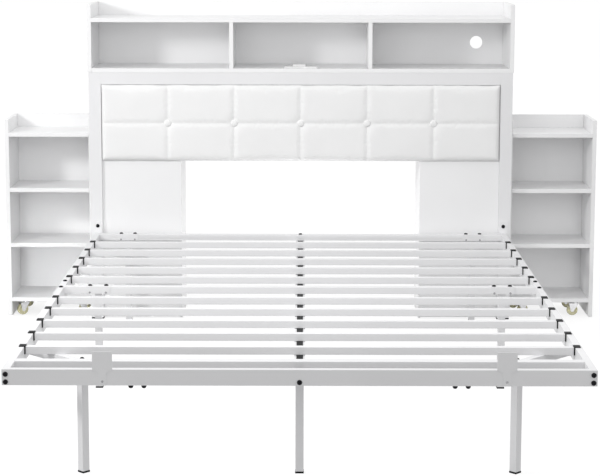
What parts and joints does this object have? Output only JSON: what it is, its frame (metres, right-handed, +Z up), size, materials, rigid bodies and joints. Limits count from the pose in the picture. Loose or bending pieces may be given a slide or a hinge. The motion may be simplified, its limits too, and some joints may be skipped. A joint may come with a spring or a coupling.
{
  "type": "bed frame with bookcase headboard",
  "caption": "Metal platform bed frame with a tufted upholstered headboard, a cubby bookcase on top and roll-out shelf cabinets on swivel casters.",
  "frame": {"origin": "on the floor at the middle of the whole bed's box, cabinets rolled out", "axes": "+Z up, +Y from the foot towards the headboard, +X to the right seen from the foot"},
  "size_m": [2.216, 2.339, 1.184],
  "materials": {
    "white_steel": "satin",
    "black_steel": "satin",
    "black_plastic": "matte",
    "white_board": "satin laminate",
    "white_leatherette": "soft satin",
    "white_plastic": "gloss",
    "caster_steel": "zinc plated",
    "caster_wheel": "pale translucent"
  },
  "bodies": {
    "bed": {"foot_rail": "white_steel", "left_side_rails": "white_steel", "right_side_rails": "white_steel", "foot_cross_bar": "white_steel", "mid_cross_bar": "white_steel", "head_cross_bar": "white_steel", "slats": "white_steel", "slat_clips": "black_plastic", "centre_rail": "white_steel", "centre_strip": "black_plastic", "corner_braces": "white_steel", "foot_legs": "white_steel", "inner_legs": "white_steel", "leg_feet": "black_plastic", "leg_saddles": "white_steel", "mattress_stops": "white_steel", "joint_plates": "white_steel", "frame_bolts": "black_steel", "left_post": "white_steel", "right_post": "white_steel", "top_rail": "white_steel", "headboard_pad": "white_leatherette", "pad_backboard": "white_board", "pad_buttons": "white_leatherette", "left_front_panels": "white_board", "right_front_panels": "white_board", "left_inner_wall": "white_board", "right_inner_wall": "white_board", "bookcase_ends": "white_board", "bookcase_shelves": "white_board", "bookcase_dividers": "white_board", "bookcase_back": "white_board", "charging_dock": "white_plastic"},
    "left_cabinet": {"left_cabinet_outer_side": "white_board", "left_cabinet_inner_side": "white_board", "left_cabinet_shelves": "white_board", "left_cabinet_back": "white_board", "left_caster_plates": "caster_steel"},
    "right_cabinet": {"right_cabinet_outer_side": "white_board", "right_cabinet_inner_side": "white_board", "right_cabinet_shelves": "white_board", "right_cabinet_back": "white_board", "right_caster_plates": "caster_steel"},
    "left_outer_front_caster": {"left_outer_front_fork": "caster_steel"},
    "left_outer_front_roller": {"left_outer_front_wheel": "caster_wheel"},
    "left_outer_rear_caster": {"left_outer_rear_fork": "caster_steel"},
    "left_outer_rear_roller": {"left_outer_rear_wheel": "caster_wheel"},
    "left_inner_front_caster": {"left_inner_front_fork": "caster_steel"},
    "left_inner_front_roller": {"left_inner_front_wheel": "caster_wheel"},
    "left_inner_rear_caster": {"left_inner_rear_fork": "caster_steel"},
    "left_inner_rear_roller": {"left_inner_rear_wheel": "caster_wheel"},
    "right_outer_front_caster": {"right_outer_front_fork": "caster_steel"},
    "right_outer_front_roller": {"right_outer_front_wheel": "caster_wheel"},
    "right_outer_rear_caster": {"right_outer_rear_fork": "caster_steel"},
    "right_outer_rear_roller": {"right_outer_rear_wheel": "caster_wheel"},
    "right_inner_front_caster": {"right_inner_front_fork": "caster_steel"},
    "right_inner_front_roller": {"right_inner_front_wheel": "caster_wheel"},
    "right_inner_rear_caster": {"right_inner_rear_fork": "caster_steel"},
    "right_inner_rear_roller": {"right_inner_rear_wheel": "caster_wheel"}
  },
  "joints": [
    {"name": "left_cabinet_roll", "type": "slide", "parent": "bed", "child": "left_cabinet", "axis": [1, 0, 0], "range_m": [0, 0.321]},
    {"name": "right_cabinet_roll", "type": "slide", "parent": "bed", "child": "right_cabinet", "axis": [-1, 0, 0], "range_m": [0, 0.321]},
    {"name": "left_outer_front_swivel", "type": "hinge", "parent": "left_cabinet", "child": "left_outer_front_caster", "pos_m": [-1.05, 0.9885, 0.056], "axis": [0, 0, 1], "continuous": true},
    {"name": "left_outer_front_roll", "type": "hinge", "parent": "left_outer_front_caster", "child": "left_outer_front_roller", "pos_m": [-1.05983, 0.98162, 0.021], "axis": [0.5736, -0.8192, 0], "continuous": true},
    {"name": "left_outer_rear_swivel", "type": "hinge", "parent": "left_cabinet", "child": "left_outer_rear_caster", "pos_m": [-1.05, 1.1205, 0.056], "axis": [0, 0, 1], "continuous": true},
    {"name": "left_outer_rear_roll", "type": "hinge", "parent": "left_outer_rear_caster", "child": "left_outer_rear_roller", "pos_m": [-1.06039, 1.1265, 0.021], "axis": [-0.5, -0.866, 0], "continuous": true},
    {"name": "left_inner_front_swivel", "type": "hinge", "parent": "left_cabinet", "child": "left_inner_front_caster", "pos_m": [-0.838, 0.9885, 0.056], "axis": [0, 0, 1], "continuous": true},
    {"name": "left_inner_front_roll", "type": "hinge", "parent": "left_inner_front_caster", "child": "left_inner_front_roller", "pos_m": [-0.82672, 0.9926, 0.021], "axis": [-0.342, 0.9397, 0], "continuous": true},
    {"name": "left_inner_rear_swivel", "type": "hinge", "parent": "left_cabinet", "child": "left_inner_rear_caster", "pos_m": [-0.838, 1.1205, 0.056], "axis": [0, 0, 1], "continuous": true},
    {"name": "left_inner_rear_roll", "type": "hinge", "parent": "left_inner_rear_caster", "child": "left_inner_rear_roller", "pos_m": [-0.82881, 1.11279, 0.021], "axis": [0.6428, 0.766, 0], "continuous": true},
    {"name": "right_outer_front_swivel", "type": "hinge", "parent": "right_cabinet", "child": "right_outer_front_caster", "pos_m": [1.05, 0.9885, 0.056], "axis": [0, 0, 1], "continuous": true},
    {"name": "right_outer_front_roll", "type": "hinge", "parent": "right_outer_front_caster", "child": "right_outer_front_roller", "pos_m": [1.038, 0.9885, 0.021], "axis": [0, -1, 0], "continuous": true},
    {"name": "right_outer_rear_swivel", "type": "hinge", "parent": "right_cabinet", "child": "right_outer_rear_caster", "pos_m": [1.05, 1.1205, 0.056], "axis": [0, 0, 1], "continuous": true},
    {"name": "right_outer_rear_roll", "type": "hinge", "parent": "right_outer_rear_caster", "child": "right_outer_rear_roller", "pos_m": [1.03961, 1.1265, 0.021], "axis": [-0.5, -0.866, 0], "continuous": true},
    {"name": "right_inner_front_swivel", "type": "hinge", "parent": "right_cabinet", "child": "right_inner_front_caster", "pos_m": [0.838, 0.9885, 0.056], "axis": [0, 0, 1], "continuous": true},
    {"name": "right_inner_front_roll", "type": "hinge", "parent": "right_inner_front_caster", "child": "right_inner_front_roller", "pos_m": [0.84888, 0.99357, 0.021], "axis": [-0.4226, 0.9063, 0], "continuous": true},
    {"name": "right_inner_rear_swivel", "type": "hinge", "parent": "right_cabinet", "child": "right_inner_rear_caster", "pos_m": [0.838, 1.1205, 0.056], "axis": [0, 0, 1], "continuous": true},
    {"name": "right_inner_rear_roll", "type": "hinge", "parent": "right_inner_rear_caster", "child": "right_inner_rear_roller", "pos_m": [0.82712, 1.11543, 0.021], "axis": [0.4226, -0.9063, 0], "continuous": true}
  ]
}
